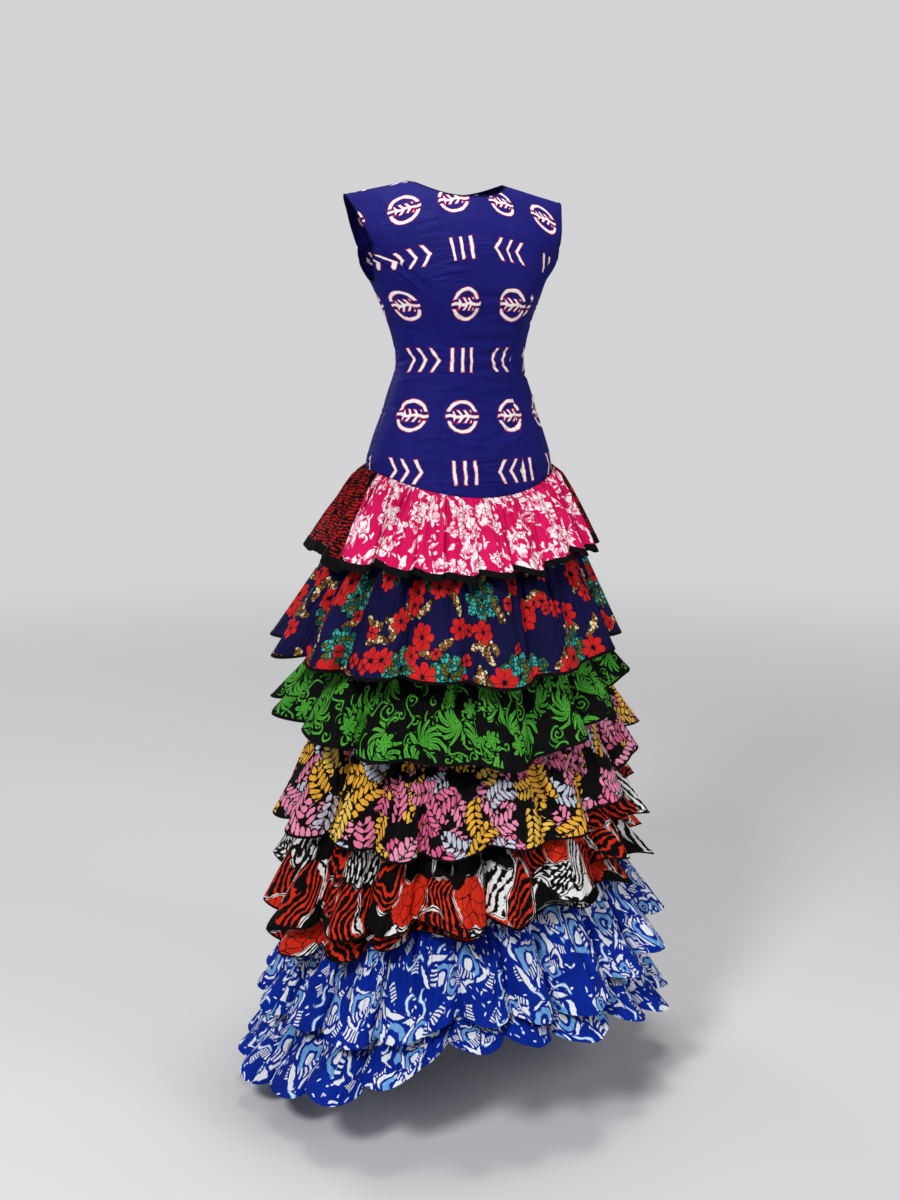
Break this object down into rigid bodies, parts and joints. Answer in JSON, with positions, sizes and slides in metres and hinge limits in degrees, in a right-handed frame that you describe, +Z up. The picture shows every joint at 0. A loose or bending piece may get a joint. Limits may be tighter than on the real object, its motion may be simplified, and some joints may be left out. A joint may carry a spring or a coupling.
{
  "type": "worn sleeveless maxi dress",
  "caption": "Sleeveless maxi dress in worn form: fitted princess-seamed bodice with a dropped basque waist and a hollow skirt of gathered flounces in mixed prints.",
  "frame": {"origin": "midway between the two shoulder seams, at the middle of their height, where the wearer's shoulders hold the dress up", "axes": "+Z up, front of the dress towards -Y, the wearer's left towards +X"},
  "size_m": [0.7474, 0.6603, 1.447],
  "materials": {
    "bodice_cloth": "matt printed cotton",
    "foundation_cloth": "plain matt cotton",
    "flounce_1_front": "matt printed cotton, pink and white",
    "flounce_1_back": "matt printed cotton, black and red",
    "flounce_2": "matt printed cotton, flowers on navy",
    "flounce_3": "matt printed cotton, green scrolls on black",
    "flounce_4": "matt printed cotton, leaf sprays on black",
    "flounce_5": "matt printed cotton, red, black and white",
    "flounce_6": "matt printed cotton, white and light blue on blue",
    "black_binding": "matt black bias binding",
    "zip_metal": "lacquered slider"
  },
  "bodies": {
    "root": {"bodice_centre_front": "bodice_cloth", "bodice_side_front_left": "bodice_cloth", "bodice_side_front_right": "bodice_cloth", "bodice_side_back_left": "bodice_cloth", "bodice_side_back_right": "bodice_cloth", "bodice_centre_back_left": "bodice_cloth", "bodice_centre_back_right": "bodice_cloth", "zip_chain": "bodice_cloth", "zip_slider": "zip_metal", "foundation_skirt_front": "foundation_cloth", "foundation_skirt_back": "foundation_cloth", "flounce_1_front": "flounce_1_front", "flounce_1_back": "flounce_1_back", "flounce_1_band_front": "black_binding", "flounce_1_band_back": "black_binding", "flounce_2_front": "flounce_2", "flounce_2_back": "flounce_2", "flounce_3_front": "flounce_3", "flounce_3_back": "flounce_3", "flounce_4_front": "flounce_4", "flounce_4_back": "flounce_4", "flounce_5a_front": "flounce_5", "flounce_5a_back": "flounce_5", "flounce_5b_front": "flounce_5", "flounce_5b_back": "flounce_5", "flounce_6a_front": "flounce_6", "flounce_6a_back": "flounce_6", "flounce_6b_front": "flounce_6", "flounce_6b_back": "flounce_6"}
  },
  "joints": []
}
